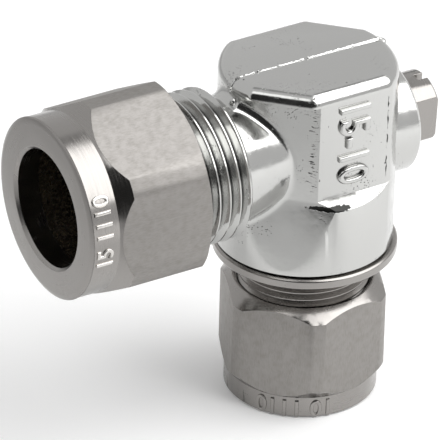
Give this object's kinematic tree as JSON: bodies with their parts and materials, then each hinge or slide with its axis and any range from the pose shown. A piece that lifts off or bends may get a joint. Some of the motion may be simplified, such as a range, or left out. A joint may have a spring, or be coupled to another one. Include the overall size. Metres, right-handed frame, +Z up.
{
  "type": "angle ball valve",
  "caption": "Angled mini ball valve: chrome-plated forged body with compression nuts at a right angle and a quarter-turn stem worked by a spanner.",
  "frame": {"origin": "middle of the outlet mouth, in the plane of the outlet nut's outer face", "axes": "+Z up the outlet's axis into the body, the inlet leaves along -X, the stem along +X, the flat front of the body faces -Y"},
  "size_m": [0.0558, 0.0242, 0.0495],
  "materials": {
    "body_chrome": "bright chrome plate on a tumbled brass forging",
    "turned_nickel": "satin plate over turned brass",
    "stem_chrome": "plated, milled flats",
    "ball_chrome": "hard chrome, polished",
    "olive_brass": "bare turned brass",
    "seat_ptfe": "white low-friction plastic",
    "seal_rubber": "black rubber"
  },
  "bodies": {
    "valve_body": {"body": "body_chrome", "outlet_connector": "turned_nickel", "connector_seal": "seal_rubber", "lower_ball_seat": "seat_ptfe", "upper_ball_seat": "seat_ptfe", "stem_thrust_washer": "seat_ptfe"},
    "stem_and_ball": {"stem": "stem_chrome", "ball": "ball_chrome", "stem_seal": "seal_rubber"},
    "inlet_olive_ring": {"inlet_olive": "olive_brass"},
    "inlet_nut_screw": {"inlet_nut": "turned_nickel"},
    "outlet_olive_ring": {"outlet_olive": "olive_brass"},
    "outlet_nut_screw": {"outlet_nut": "turned_nickel"}
  },
  "joints": [
    {"name": "stem_turn", "type": "hinge", "parent": "valve_body", "child": "stem_and_ball", "pos_m": [0.0105, 0, 0.0363], "axis": [1, 0, 0], "range_deg": [-3.7, 86.3]},
    {"name": "inlet_nut_travel", "type": "slide", "parent": "valve_body", "child": "inlet_olive_ring", "axis": [-1, 0, 0], "range_m": [0, 0.00676]},
    {"name": "inlet_nut_turn", "type": "hinge", "parent": "inlet_olive_ring", "child": "inlet_nut_screw", "pos_m": [-0.03, 0, 0.0363], "axis": [-1, 0, 0], "range_deg": [0, 1620]},
    {"name": "outlet_nut_travel", "type": "slide", "parent": "valve_body", "child": "outlet_olive_ring", "axis": [0, 0, -1], "range_m": [0, 0.00701]},
    {"name": "outlet_nut_turn", "type": "hinge", "parent": "outlet_olive_ring", "child": "outlet_nut_screw", "pos_m": [0, 0, 0.008], "axis": [0, 0, -1], "range_deg": [0, 2520]}
  ],
  "couplings": [
    {"joint": "inlet_nut_travel", "follows": "inlet_nut_turn", "m_per_rad": 0.00023873},
    {"joint": "outlet_nut_travel", "follows": "outlet_nut_turn", "m_per_rad": 0.00015915}
  ]
}
